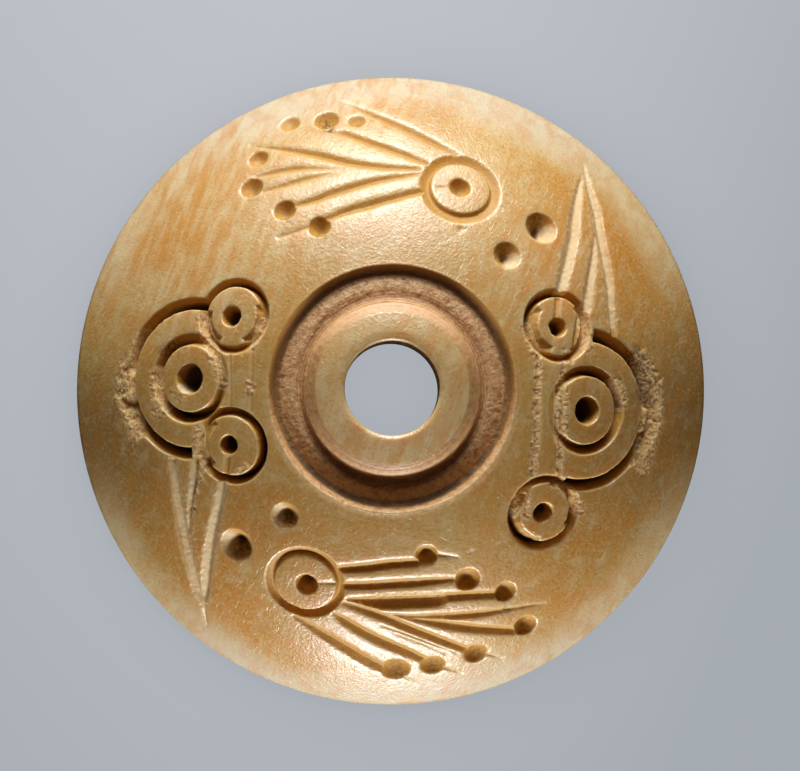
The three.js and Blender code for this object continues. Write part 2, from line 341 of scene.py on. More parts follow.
def smooth_step(low, high, value):
    """Nothing below low, one above high, and 3t^2 - 2t^3 between."""
    t = np.clip((value - low) / (high - low), 0, 1)
    return t * t * (3 - 2 * t)


def soft_positive(value, blur):
    """The value where it is well above nothing, and nothing well below, rounded over blur."""
    return (value + np.sqrt(value * value + blur * blur)) / 2


def scattered(cells, seed):
    """A repeatable number from 0 to 1 for each row of whole numbers, by mixing their bits."""
    mixed = cells @ np.array([374761393, 668265263, 1440662683]) + seed * 974634777
    mixed = mixed & 0xFFFFFFFF
    mixed = ((mixed ^ (mixed >> 13)) * 1274126177) & 0xFFFFFFFF
    return ((mixed ^ (mixed >> 16)) & 0xFFFF) / 0xFFFF


def noise(points, cell, seed):
    """Value noise from -1 to 1: scattered numbers on a cubic lattice, eased between corners."""
    place = points / cell
    low = np.floor(place).astype(np.int64)
    part = place - low
    part = part * part * (3 - 2 * part)
    total = np.zeros(len(points))
    for corner in itertools.product((0, 1), repeat=3):
        weight = np.where(corner, part, 1 - part).prod(axis=1)
        total += weight * scattered(low + corner, seed)
    return 2 * total - 1


def on_dome(form, x, y):
    """The dome's point above a place in plan: height sqrt(R^2 - x^2 - y^2) less its drop."""
    height = np.sqrt(form.dome**2 - np.square(x) - np.square(y)) - form.drop
    return np.stack(np.broadcast_arrays(x, y, height), axis=-1)


def standing(form, x, y):
    """Where a mark stands in plan that is seen at x and y. What stands h above the true height
    looks h tan(lean) aside, and h over the camera's distance further out."""
    rise = on_dome(form, x, y)[2] - TRUE_HEIGHT
    closer = 1 - rise / CAMERA_AWAY
    return x * closer - rise * math.tan(LEAN_X), y * closer - rise * math.tan(LEAN_Y)


PATH_STEPS = 4


def eased_path(path):
    """More points between a path's own: x, y and width each follow the cubic through the four
    nearest points, so that the path bends without corners."""
    path = np.array(path)
    if len(path) < 3:
        return path
    ends = np.concatenate([2 * path[:1] - path[1:2], path, 2 * path[-1:] - path[-2:-1]])
    before, start, end, after = (ends[k:len(ends) - 3 + k, None] for k in range(4))
    t = np.linspace(0, 1, PATH_STEPS, endpoint=False)[:, None]
    cubic = (2 * start + t * (end - before) + t**2 * (2 * before - 5 * start + 4 * end - after)
             + t**3 * (3 * start - before - 3 * end + after)) / 2
    return np.concatenate([cubic.reshape(-1, 3), path[-1:]])


# --- the turned form ---


LIP_RADIUS = 5.52
FINE_STEP = 0.01
EASE = 0.035
PLAIN_SPACING = 0.5
SPACING_EASE = 0.4


class Form(NamedTuple):
    """The whorl's turned sizes in millimetres, taken from the panel's values."""

    radius: float
    dome: float
    edge: float
    drop: float
    bore: float
    collar_top: float
    spacing: float
    columns: int


def turned_form(sizes):
    """The dome's centre drops below the underside so that it meets the rounded edge smoothly."""
    radius, dome, edge = sizes.radius / MM, sizes.dome_radius / MM, sizes.edge_round / MM
    drop = math.sqrt((dome - edge) ** 2 - (radius - edge) ** 2) - edge
    bore, top = sizes.bore_radius / MM, sizes.collar_top / MM
    return Form(radius, dome, edge, drop, bore, top, sizes.spacing / MM, sizes.columns)


def profile(form):
    """The turned outline as radius and height: underside, rounded edge, dome, groove, collar
    and bore, drawn as arcs and straight runs, then eased by a running average."""
    edge_angle = math.atan2(form.drop + form.edge, form.radius - form.edge)
    lip_angle = math.acos(LIP_RADIUS / form.dome)
    edge = np.linspace(-math.pi / 2, edge_angle, 60)
    dome = np.linspace(edge_angle, lip_angle, 400)
    lip = form.dome * math.sin(lip_angle) - form.drop
    top = form.collar_top
    turned = [
        (form.bore, 0.0),
        *zip(form.radius - form.edge + form.edge * np.cos(edge), form.edge * (1 + np.sin(edge))),
        *zip(form.dome * np.cos(dome), form.dome * np.sin(dome) - form.drop),
        (5.44, lip - 0.10),
        (5.30, lip - 0.36),
        (5.20, lip - 0.48),
        (5.10, lip - 0.53),
        (4.96, lip - 0.52),
        (4.80, lip - 0.44),
        (4.62, lip - 0.35),
        (4.46, lip - 0.30),
        (4.34, lip - 0.30),
        (4.20, lip - 0.34),
        (4.08, lip - 0.34),
        (3.98, lip - 0.28),
        (3.88, top - 0.74),
        (3.80, top - 0.62),
        (3.46, top - 0.37),
        (3.38, top - 0.31),
        (3.00, top - 0.17),
        (2.60, top - 0.05),
        (form.bore + 0.12, top),
        (form.bore, top - 0.07),
        (form.bore, 0.0),
    ]
    turned = np.array(turned)
    length = np.concatenate(([0], np.cumsum(np.hypot(*np.diff(turned, axis=0).T))))
    fine = np.arange(0, length[-1], FINE_STEP)
    outline = np.stack([np.interp(fine, length, turned[:, k]) for k in (0, 1)], axis=1)
    reach = round(3 * EASE / FINE_STEP)
    bell = np.exp(-0.5 * (np.arange(-reach, reach + 1) * FINE_STEP / EASE) ** 2)
    wrapped = np.concatenate([outline[-reach:], outline, outline[:reach]])
    eased = [np.convolve(wrapped[:, k], bell / bell.sum(), "valid") for k in (0, 1)]
    return np.stack(eased, axis=1)


def rows_on(outline, form):
    """Rows set along the outline, close together on the dome and collar and wide apart below."""
    radius, height = outline.T
    upper = (height > 0.9 * form.edge) & (radius > form.bore + 0.05)
    wanted = np.where(upper, form.spacing, PLAIN_SPACING)
    reach = round(SPACING_EASE / FINE_STEP)
    wanted = np.convolve(np.pad(wanted, reach, "wrap"), np.ones(2 * reach + 1), "valid")
    count = np.cumsum((2 * reach + 1) * FINE_STEP / wanted)
    rows = np.arange(round(count[-1])) * count[-1] / round(count[-1])
    steps = np.arange(len(outline))
    chosen = np.interp(rows, count, steps)
    slope = np.roll(outline, -1, axis=0) - np.roll(outline, 1, axis=0)
    slope /= np.hypot(*slope.T)[:, None]
    facing = np.stack([slope[:, 1], -slope[:, 0]], axis=1)
    return [np.stack([np.interp(chosen, steps, part[:, k]) for k in (0, 1)], axis=1)
            for part in (outline, facing)]


# --- the carving on the dome ---


GRAVER_SLOPE = 0.86
WORN_SLOPE = 2.6
GRAVER_NOSE = 0.03
BLUNT = 0.15
LIP_EASE = 0.055


class Carving:
    """The dome's points, how deep each is cut, and how far it is from the nearest edge."""

    def __init__(self, form, points):
        self.form = form
        self.points = points
        self.depth = np.zeros(len(points))
        self.edge = np.full(len(points), -9.0)
        self.ragged = noise(points, 0.22, 11) + 0.6 * noise(points, 0.09, 12)
        self.wander = noise(points, 0.9, 13)

    def near(self, x, y, reach):
        """The points in a box round a place."""
        low = self.points[:, :2] > np.array([x, y]) - reach
        high = self.points[:, :2] < np.array([x, y]) + reach
        return np.flatnonzero((low & high).all(axis=1))

    def cut(self, where, inside, depth):
        """Keeps the deepest cut at each point, and the distance in from the nearest edge."""
        self.depth[where] = np.maximum(self.depth[where], depth)
        self.edge[where] = np.maximum(self.edge[where], inside)

    def scribe(self, ring):
        """A ring's groove: from either edge its depth rises as 1 - (1 - t)^1.5 to the deepest
        line, at the surface distance from its centre that its share gives."""
        x, y = standing(self.form, ring.x, ring.y)
        where = self.near(x, y, ring.outer + 0.3)
        points = self.points[where]
        reach = np.linalg.norm(points - on_dome(self.form, x, y), axis=1)
        reach += 0.02 * self.wander[where] + ring.rag * self.ragged[where]
        angle = np.degrees(np.arctan2(points[:, 1] - y, points[:, 0] - x))
        width = ring.outer - ring.inner
        inner, outer = reach - ring.inner, ring.outer - reach
        if ring.last - ring.first < 360:
            off = np.abs((angle - (ring.first + ring.last) / 2 + 180) % 360 - 180)
            spare = np.radians((ring.last - ring.first) / 2 - off) * ring.inner
            inner, outer = np.minimum(inner, spare), np.minimum(outer, spare)
        near_in = np.clip(inner / (width * ring.share), 0, 1)
        near_out = np.clip(outer / (width * (1 - ring.share)), 0, 1)
        rise = 1 - (1 - np.minimum(near_in, near_out)) ** 1.5
        lean = 1 + ring.lean * np.cos(np.radians(angle - ring.toward))
        self.cut(where, np.minimum(inner, outer), ring.depth * lean * rise)

    def drill(self, dot):
        """A dot's hole: depth times (1 - t^bore)^wear at t radii from its centre, where t is
        rounded off close to nothing so that a cone ends in a blunt point."""
        x, y = standing(self.form, dot.x, dot.y)
        where = self.near(x, y, dot.radius + 0.3)
        reach = np.linalg.norm(self.points[where] - on_dome(self.form, x, y), axis=1)
        inside = dot.radius - reach + 0.012 * self.ragged[where]
        part = np.clip(1 - inside / dot.radius, 0, 1)
        part = np.clip(np.hypot(part, BLUNT * (1 - part)), 0, 1)
        self.cut(where, inside, dot.depth * (1 - part**dot.bore) ** dot.wear)

    def grave(self, blur, path):
        """A stroke: at each point of the surface, its depth is a slope times how far the point
        lies inside the nearest edge. The blur rounds both edges and makes the slope less."""
        path = eased_path([(*standing(self.form, x, y), wide) for x, y, wide in path])
        middle = (path[:, :2].min(axis=0) + path[:, :2].max(axis=0)) / 2
        reach = np.ptp(path[:, :2], axis=0).max() / 2 + 0.8
        where = self.near(*middle, reach)
        points = self.points[where]
        inside = np.full(len(points), -9.0)
        for (x0, y0, wide0), (x1, y1, wide1) in zip(path, path[1:]):
            run = np.array([x1 - x0, y1 - y0])
            part = np.clip((points[:, :2] - (x0, y0)) @ run / (run @ run), 0, 1)
            foot = on_dome(self.form, x0 + part * run[0], y0 + part * run[1])
            away = np.sqrt(np.square(points - foot).sum(axis=1) + GRAVER_NOSE**2)
            half = (wide0 + part * (wide1 - wide0)) / 2
            inside = np.maximum(inside, half + GRAVER_NOSE - away)
        inside = inside + 0.010 * self.ragged[where] + 0.01 * self.wander[where]
        depth = (GRAVER_SLOPE - WORN_SLOPE * blur) * soft_positive(inside, blur)
        self.cut(where, inside, np.where(inside > -3 * blur, depth, 0))

    def crumble(self, broken):
        """A broken edge: the depth falls away evenly from the ring to a wandering outer line."""
        x, y = standing(self.form, broken.x, broken.y)
        where = self.near(x, y, broken.outer + 0.5)
        points = self.points[where]
        reach = np.linalg.norm(points - on_dome(self.form, x, y), axis=1)
        angle = np.degrees(np.arctan2(points[:, 1] - y, points[:, 0] - x))
        middle = (broken.first + broken.last) / 2
        off = np.abs((angle - middle + 180) % 360 - 180) * 2 / (broken.last - broken.first)
        outer = broken.inner + (broken.outer - broken.inner) * np.sqrt(np.clip(1 - off**2, 0, 1))
        outer = outer + 0.10 * self.wander[where] + 0.06 * self.ragged[where]
        inside = np.where((reach > broken.inner - 0.2) & (off < 1), outer - reach, -9.0)
        ramp = np.clip(inside / (broken.outer - broken.inner), 0, 1)
        self.cut(where, inside, broken.depth * ramp**0.8)

    def along(self, patch):
        """How far each point lies in plan from the straight run between a patch's two ends."""
        start = np.array(standing(self.form, patch.x0, patch.y0))
        run = np.array(standing(self.form, patch.x1, patch.y1)) - start
        part = np.clip((self.points[:, :2] - start) @ run / (run @ run), 0, 1)
        return np.hypot(*(self.points[:, :2] - start - part[:, None] * run).T)

    def fill(self, patch):
        """Leaves the cut shallower over a patch."""
        held = patch.strength * smooth_step(1.3, 0.6, self.along(patch) / patch.radius)
        self.depth *= 1 - held

    def shade(self, patches, ease):
        """A mask from nothing to one over a set of patches."""
        mask = np.zeros(len(self.points))
        for patch in patches:
            away = self.along(patch) - 0.04 * self.ragged
            mask = np.maximum(mask, patch.strength * smooth_step(1 + ease, 1 - ease,
                                                                 away / patch.radius))
        return mask


def carve(form, points):
    """Cuts every mark into the dome. Gives the depth and the masks that the finish reads: the lip
    is exp(-(d / ease)^2) at a distance d from the nearest edge."""
    carving = Carving(form, points)
    for ring in RINGS:
        carving.scribe(ring)
    for broken in BREAKS:
        carving.crumble(broken)
    for patch in FILLS:
        carving.fill(patch)
    for dot in DOTS:
        carving.drill(dot)
    for blur, path in STROKES:
        carving.grave(blur, path)
    grit = carving.shade(GRIT, 0.35)
    stain_and_shadow = carving.shade(STAINS_AND_SHADOWS, 0.4)
    coarse = noise(points, 0.16, 21) + 0.8 * noise(points, 0.08, 22)
    depth = carving.depth + grit * (0.03 + 0.045 * coarse)
    lip = np.exp(-np.square(carving.edge / LIP_EASE))
    depth = depth + 0.010 * lip * (carving.edge < 0.0) * (1 + carving.ragged)
    return depth, lip, grit, stain_and_shadow


# --- the mesh ---


MASKS = ("depth", "lip", "grit", "stain_and_shadow", "groove")
STAIN_AND_SHADE_INNER = 3.2
GROOVE_INNER = 3.84
STAIN_AND_SHADE_OUTER = 5.7
GROOVE_LOWEST = 1.6
UNEVEN = 0.36


def carved_whorl(form):
    """The whorl as a grid: rows round its outline by columns round its axis, each point moved
    in from the turned surface by how deep it is cut there."""
    outline, facing = rows_on(profile(form), form)
    turn = np.arange(form.columns) * TURN / form.columns
    radius, height = outline.T
    across = np.stack([np.cos(turn), np.sin(turn)], axis=1)
    spot = np.empty((len(outline), form.columns, 3))
    spot[..., :2] = radius[:, None, None] * across
    spot[..., 2] = height[:, None]
    out = np.empty_like(spot)
    out[..., :2] = facing[:, 0, None, None] * across
    out[..., 2] = facing[:, 1, None]
    sink_groove(spot, radius, height, turn, form)
    masks = {name: np.zeros(spot.shape[:2]) for name in MASKS}
    dome = (np.abs(np.hypot(radius, height + form.drop) - form.dome) < 0.02) & (height > form.edge)
    results = carve(form, spot[dome].reshape(-1, 3))
    for name, values in zip(("depth", "lip", "grit", "stain_and_shadow"), results):
        masks[name][dome] = values.reshape(-1, form.columns)
    depth = masks["depth"].copy()
    groove = (radius > STAIN_AND_SHADE_INNER) & (radius < STAIN_AND_SHADE_OUTER)
    groove &= height > form.collar_top - GROOVE_LOWEST
    masks["groove"][groove] = groove_stain_and_shade(radius[groove])[:, None]
    rough = groove_roughness(spot[groove].reshape(-1, 3)).reshape(-1, form.columns)
    depth[groove] += rough * masks["groove"][groove]
    spot -= out * depth[..., None]
    return spot, masks


def sink_groove(spot, radius, height, turn, form):
    """The groove was cut unevenly: below the straight line from the collar's foot to the lip,
    its depth is the profile's times 1 - 0.36 sin(turn), deepest towards -Y."""
    groove = (radius > GROOVE_INNER) & (radius < LIP_RADIUS) & (height > 1)
    lip = math.sqrt(form.dome**2 - LIP_RADIUS**2) - form.drop
    line = lip + 0.14 * (LIP_RADIUS - radius[groove]) / (LIP_RADIUS - GROOVE_INNER)
    depth = np.maximum(line - height[groove], 0)[:, None]
    spot[groove, :, 2] += depth * UNEVEN * np.sin(turn)


def groove_stain_and_shade(radius):
    """Where the groove's fibres and its painted light and shade are laid: full over the groove's
    floor and walls, fading on the collar's bevel and past the lip.
    """
    return smooth_step(3.40, 3.47, radius) * smooth_step(5.66, 5.46, radius)


def groove_roughness(points):
    """Turning lines that run round, strongest by the collar's foot, and torn fibres outside."""
    radius = np.hypot(points[:, 0], points[:, 1])
    angle = np.arctan2(points[:, 1], points[:, 0])
    ringed = np.stack([radius, angle * 0.35, np.zeros_like(radius)], axis=1)
    lines = noise(ringed, 0.075, 31)
    foot = smooth_step(3.8, 3.95, radius) * smooth_step(4.55, 4.35, radius)
    torn = noise(points, 0.17, 32) + 0.6 * noise(points, 0.09, 33)
    fibrous = smooth_step(4.15, 4.4, radius) * smooth_step(5.25, 5.0, radius)
    return 0.018 * lines * foot + 0.014 * torn * fibrous + 0.005 * torn


def grid_mesh(name, spot):
    """Joins a grid that closes on itself both ways with four-cornered faces, facing outwards."""
    rows, columns = spot.shape[:2]
    i, j = np.meshgrid(np.arange(rows), np.arange(columns), indexing="ij")
    down, right = (i + 1) % rows, (j + 1) % columns
    corners = np.stack([i * columns + j, i * columns + right, down * columns + right,
                        down * columns + j], axis=-1)
    mesh = bpy.data.meshes.new(name)
    mesh.vertices.add(rows * columns)
    mesh.vertices.foreach_set("co", (spot * MM).astype(np.float32).ravel())
    mesh.loops.add(corners.size)
    mesh.loops.foreach_set("vertex_index", corners.astype(np.int32).ravel())
    mesh.polygons.add(rows * columns)
    mesh.polygons.foreach_set("loop_start", np.arange(0, corners.size, 4, dtype=np.int32))
    mesh.update(calc_edges=True)
    mesh.shade_smooth()
    return mesh


def write_masks(mesh, masks):
    """Gives each point of the mesh its masks' values."""
    for name, values in masks.items():
        layer = mesh.attributes.new(name, "FLOAT", "POINT")
        layer.data.foreach_set("value", values.astype(np.float32).ravel())


# --- shader nodes as expressions ---


class Value:
    """A socket of a material, on which + - * and / add Math nodes."""

    def __init__(self, tree, socket):
        self.tree = tree
        self.socket = socket

    def math(self, operation, *others):
        """Adds a Math node of this operation on the value and the others, in that order."""
        node = self.tree.nodes.new("ShaderNodeMath")
        node.operation = operation
        for socket, given in zip(node.inputs, (self, *others)):
            connect(self.tree, socket, given)
        return Value(self.tree, node.outputs[0])

    def __add__(self, other):
        return self.math("ADD", other)

    __radd__ = __add__

    def __mul__(self, other):
        return self.math("MULTIPLY", other)

    __rmul__ = __mul__

    def __sub__(self, other):
        return self.math("SUBTRACT", other)

    def __rsub__(self, other):
        return (self * -1) + other

    def __truediv__(self, other):
        return self.math("DIVIDE", other)


def connect(tree, socket, given):
    """Links a value to the socket, or sets the socket to a number, a vector or a colour."""
    if isinstance(given, Value):
        tree.links.new(given.socket, socket)
    else:
        socket.default_value = given


class Finish:
    """A material under construction."""

    def __init__(self, name):
        self.material = bpy.data.materials.new(name)
        self.material.use_nodes = True
        self.tree = self.material.node_tree
        self.shader = self.tree.nodes["Principled BSDF"]

    def node(self, kind, settings=None, sockets=None, output=0):
        """Adds a node of this type, with its settings first and then its sockets."""
        made = self.tree.nodes.new(kind)
        for key, setting in (settings or {}).items():
            setattr(made, key, setting)
        for key, given in (sockets or {}).items():
            connect(self.tree, made.inputs[key], given)
        return Value(self.tree, made.outputs[output])

    def mask(self, name):
        """One of the masks written on the mesh."""
        return self.node("ShaderNodeAttribute", {"attribute_name": name}, output="Fac")

    def place(self):
        """Where a point is in the whorl's own coordinates, in metres."""
        return self.node("ShaderNodeTexCoord", output="Object")

    def mapped(self, place, scale, turn=(0, 0, 0)):
        """The place times a scale, then turned."""
        sockets = {"Vector": place, "Scale": scale, "Rotation": turn}
        return self.node("ShaderNodeMapping", sockets=sockets)

    def noise(self, place, scale, detail=3.0, rough=0.55, warp=0.0):
        """Noise from 0 to 1 with this many features a metre."""
        sockets = {"Vector": place, "Scale": scale, "Detail": detail, "Roughness": rough,
                   "Distortion": warp}
        return self.node("ShaderNodeTexNoise", sockets=sockets, output="Fac")

    def step(self, value, low, high):
        """Nothing below low, one above high, and eased between; it falls if high is lower."""
        sockets = {"Value": value, "From Min": low, "From Max": high}
        return self.node("ShaderNodeMapRange", {"interpolation_type": "SMOOTHSTEP"}, sockets)

    def blend(self, part, first, second, mode="MIX"):
        """Mixes two colours, or lays the second over the first in the mode given."""
        made = self.tree.nodes.new("ShaderNodeMix")
        made.data_type = "RGBA"
        made.blend_type = mode
        for key, given in (("Factor_Float", part), ("A_Color", first), ("B_Color", second)):
            connect(self.tree, next(s for s in made.inputs if s.identifier == key), given)
        return Value(self.tree, next(s for s in made.outputs if s.identifier == "Result_Color"))

    def feed(self, **sockets):
        """Connects the shader's own sockets, named with underscores for spaces."""
        for key, given in sockets.items():
            connect(self.tree, self.shader.inputs[key.replace("_", " ")], given)


# --- the bone's finish ---


# Round places in plan: centre, then an inner and an outer radius, in millimetres.
# The pale places are paler bone, and also painted light where the key falls short.
PALE_PLACES = ((-7.5, 8.0, 0.5, 7.0), (-1.0, 12.8, 0.5, 3.5), (-9.0, 6.0, 1.0, 6.0),
               (6.5, 4.5, 0.5, 5.0))
OCHRE_PLACES = ((9.5, 6.5, 1.5, 6.0), (8.5, -8.0, 1.5, 6.5), (-7.0, -9.0, 1.5, 7.0),
                (-9.5, 7.0, 0.3, 3.6))
BROWN_PLACES = ((12.8, -1.5, 1.0, 6.5), (-13.2, -2.5, 1.0, 5.0))
# Painted shade: the dome made darker low on either side.
PAINTED_SHADE_PLACES = ((-8.0, -5.5, 1.5, 7.0), (9.0, -5.5, 1.5, 7.0))
# Painted light: the halves of four big cones that face the lamps, in plan.
LIT_PIT_HALVES = ((6.95, 6.78, 0.40, 0.64), (5.40, 5.58, 0.34, 0.56), (-7.22, -6.85, 0.35, 0.65),
             (-5.02, -5.52, 0.30, 0.55))


def round_spot(finish, plan, x, y, inner, outer):
    """One within the inner radius of a centre in plan, and nothing past the outer one."""
    sockets = {0: plan, 1: (x * MM, y * MM, 0)}
    away = finish.node("ShaderNodeVectorMath", {"operation": "DISTANCE"}, sockets, output="Value")
    return finish.step(away, outer * MM, inner * MM)


def spots(finish, plan, round_places):
    """One where any of the round places lies, and nothing away from all of them."""
    total = round_spot(finish, plan, *round_places[0])
    for round_place in round_places[1:]:
        total = total.math("MAXIMUM", round_spot(finish, plan, *round_place))
    return total


def streaks(finish, place, angle, across, lengthwise):
    """Noise drawn out along one direction in plan: this many features a metre either way."""
    turned = finish.mapped(place, (1, 1, 1), (0, 0, math.radians(angle)))
    drawn = finish.mapped(turned, (lengthwise, across, across * 0.3))
    return finish.noise(drawn, 1.0, 1.5, 0.5)


class Maps(NamedTuple):
    """What the bone's finish reads: the place, and the place in plan with its height left out, in
    metres; the radius, Y as upright, Y either way as beside, and the depth in millimetres; and
    the rest from 0 to 1."""

    place: Value
    plan: Value
    radius: Value
    upright: Value
    beside: Value
    lower: Value
    bevel: Value
    depth: Value
    sunk: Value
    lip: Value
    grit: Value
    stain_and_shadow: Value
    groove: Value
    cloud: Value
    mottle: Value
    speck: Value
    fine: Value
    grain: Value
    scratch: Value
    turning: Value


def bone_maps(finish):
    """Noise runs from clouds 6 mm across down to 0.08 mm: its scales are features a metre. Grain
    runs at 70 degrees to X, and scratches at 58 and -35."""
    place = finish.place()
    plan = finish.node("ShaderNodeVectorMath", {"operation": "MULTIPLY"}, {0: place, 1: (1, 1, 0)})
    radius = finish.node("ShaderNodeVectorMath", {"operation": "LENGTH"}, {0: plan},
                         output="Value") / MM
    upright = finish.node("ShaderNodeSeparateXYZ", sockets={"Vector": place}, output="Y") / MM
    masks = {name: finish.mask(name) for name in MASKS}
    first = finish.step(streaks(finish, place, -58, 9000, 1500), 0.62, 0.74)
    second = finish.step(streaks(finish, place, 35, 9000, 1700), 0.66, 0.76)
    return Maps(
        place=place,
        plan=plan,
        radius=radius,
        upright=upright,
        beside=upright.math("ABSOLUTE"),
        lower=finish.step(upright, 2.0, -3.0),
        bevel=finish.step(radius, 3.90, 3.80),
        sunk=finish.step(masks["depth"], 0.02, 0.10),
        cloud=finish.noise(place, 170, 4.0, 0.6),
        mottle=finish.noise(place, 1100, 4.0, 0.65),
        speck=finish.noise(place, 6500, 3.0, 0.6),
        fine=finish.noise(place, 12000, 2.0, 0.6),
        grain=streaks(finish, place, -70, 3400, 380),
        scratch=(first + second).math("MINIMUM", 1.0),
        turning=finish.noise(radius * MM, 9000, 2.0, 0.6),
        **masks,
    )


def dome_colour(finish, maps, colours):
    """Honey and tan clouds, with cream, ochre and brown places and olive near the groove. The
    pale places are also painted light where the key falls short, and two places are painted
    shade low on either side. The collar's land is paler, and painted light makes it paler
    still towards -Y; the outer edge is painted pale at top and bottom as the light on it.
    Mottling, specks, grain and scratches lie over all."""
    step, blend = finish.step, finish.blend
    place, plan, mottle, speck, grain = maps.place, maps.plan, maps.mottle, maps.speck, maps.grain
    colour = blend(step(maps.cloud, 0.40, 0.62), colours.honey, colours.tan)
    pale = spots(finish, plan, PALE_PLACES)
    colour = blend(pale * 0.45, colour, colours.cream)
    ochre = spots(finish, plan, OCHRE_PLACES)
    ochre = ochre * step(finish.noise(place, 330, 4.0, 0.65), 0.34, 0.58)
    colour = blend(ochre * 0.8, colour, colours.ochre)
    colour = blend(spots(finish, plan, BROWN_PLACES) * 0.65, colour, colours.brown)
    # Painted shade low on either side of the dome.
    colour = blend(spots(finish, plan, PAINTED_SHADE_PLACES) * 0.24, colour, colours.brown)
    olive = step(maps.radius, 9.0, 5.2) * step(maps.cloud, 0.25, 0.55)
    colour = blend(olive * 0.6, colour, colours.olive)

    land = step(maps.radius, 3.45, 3.38)
    # The land is paler bone, and painted light makes it paler still towards -Y.
    colour = blend(land * (maps.lower * 0.3 + 0.45), colour, colours.cream)
    warm = land * step(maps.upright, -0.5, -2.6) * step(grain, 0.35, 0.55)
    colour = blend(warm * 0.25, colour, colours.ochre)
    wavy = maps.radius + (mottle - 0.5) * 0.8 + (maps.cloud - 0.5) * 2.2 - maps.lower * 0.3
    # Painted light: the outer edge is painted pale at top and bottom, where the low lamps light
    # it.
    lit_rim = step(wavy, 12.1, 13.5) * step(maps.beside, 2.0, 7.0)
    colour = blend(lit_rim * 0.85, colour, colours.cream)
    colour = blend(lit_rim * step(maps.beside, 8.0, 12.5) * 0.8, colour, colours.lit_rim)

    colour = blend(step(mottle, 0.42, 0.66) * 0.38, colour, colours.ochre)
    colour = blend(step(mottle, 0.50, 0.32) * 0.32, colour, colours.cream)
    colour = blend(step(speck, 0.56, 0.68) * (1 - lit_rim) * 0.40, colour, colours.brown)
    colour = blend(step(speck, 0.46, 0.34) * 0.30, colour, colours.cream)
    grained = (pale + land * 0.3).math("MINIMUM", 1.0) * 0.7 + 0.3
    drift = streaks(finish, place, -68, 1300, 230)
    colour = blend(step(drift, 0.50, 0.66) * grained * 0.45, colour, colours.ochre)
    colour = blend(step(grain, 0.50, 0.68) * grained * 0.5, colour, colours.ochre)
    colour = blend(step(grain, 0.48, 0.34) * grained * 0.35, colour, colours.cream)
    return blend(maps.scratch * 0.22, colour, colours.cream)


def with_groove(finish, maps, colours, colour):
    """Lays the groove's colour over the dome's: rust and pink fibres and browner lines by the
    collar, then painted light and shade: a bevel painted pale above and below and browner at
    the sides, painted shade on the outer slope, warmer on its upper half, painted shadow in
    the deepest run, darkest towards -Y, and a painted highlight of pale fibres on the lower
    lip."""
    step, blend = finish.step, finish.blend
    place, bevel, lower = maps.place, maps.bevel, maps.lower
    reach = maps.radius + (finish.noise(place, 800, 3.0, 0.6) - 0.5) * 0.16
    fibre = step(finish.noise(place, 4200, 5.0, 0.7, 0.6), 0.30, 0.60)
    groove_tone_and_shade = blend(fibre, colours.rust, colours.pink)
    inner = step(reach, 3.82, 3.95) * step(reach, 4.50, 4.20)
    groove_tone_and_shade = blend(inner * step(maps.turning, 0.35, 0.60) * 0.7, groove_tone_and_shade, colours.rust)
    # Painted light and shade on the collar's bevel: pale where the lamps at top and bottom light
    # it, less so below, and browner at the sides.
    lit_bevel = bevel * step(maps.beside, 0.8, 3.0) * (1 - lower * 0.7)
    groove_tone_and_shade = blend(lit_bevel * 0.7, groove_tone_and_shade, colours.pink)
    groove_tone_and_shade = blend((bevel - lit_bevel) * 0.5, groove_tone_and_shade, colours.brown)
    # Painted shade down the groove's outer slope and in its deepest run.
    wall_shade = step(reach, 4.92, 5.10) * step(reach + lower * 0.24, 5.56, 5.42)
    groove_tone_and_shade = blend(wall_shade * 0.85, groove_tone_and_shade, colours.umber_shade)
    # Painted shade: the upper half of the outer slope takes the warm orange of shaded, translucent
    # bone.
    outer = step(maps.radius, 5.30, 5.44) * (1 - lower)
    groove_tone_and_shade = blend(outer * 0.8, groove_tone_and_shade, colours.amber_shade)
    channel_shade = step(reach, 4.90, 5.08) * step(reach, 5.32, 5.16)
    groove_tone_and_shade = blend(channel_shade * 0.45, groove_tone_and_shade, colours.umber_shade)
    # Painted shadow: the groove's floor and deepest run darken towards -Y, where the collar shades
    # them from the key.
    shaded = step(maps.upright, -1.0, -4.0) * step(reach, 5.15, 5.0) * (1 - bevel)
    groove_tone_and_shade = blend(shaded * 0.45, groove_tone_and_shade, colours.umber_shade)
    lower_channel_shadow = channel_shade * step(maps.mottle, 0.36, 0.54) * step(maps.upright, -0.5, -4.0)
    groove_tone_and_shade = blend(lower_channel_shadow * 0.8, groove_tone_and_shade, colours.deep_shade)
    colour = blend(maps.groove * 0.92, colour, groove_tone_and_shade)
    # Painted highlight on the crumbly lower lip of the groove, on the half that faces the key.
    brink = step(reach, 5.42, 5.52) * step(reach, 5.86, 5.66) * lower
    return blend(brink * fibre * 0.55, colour, colours.cream)


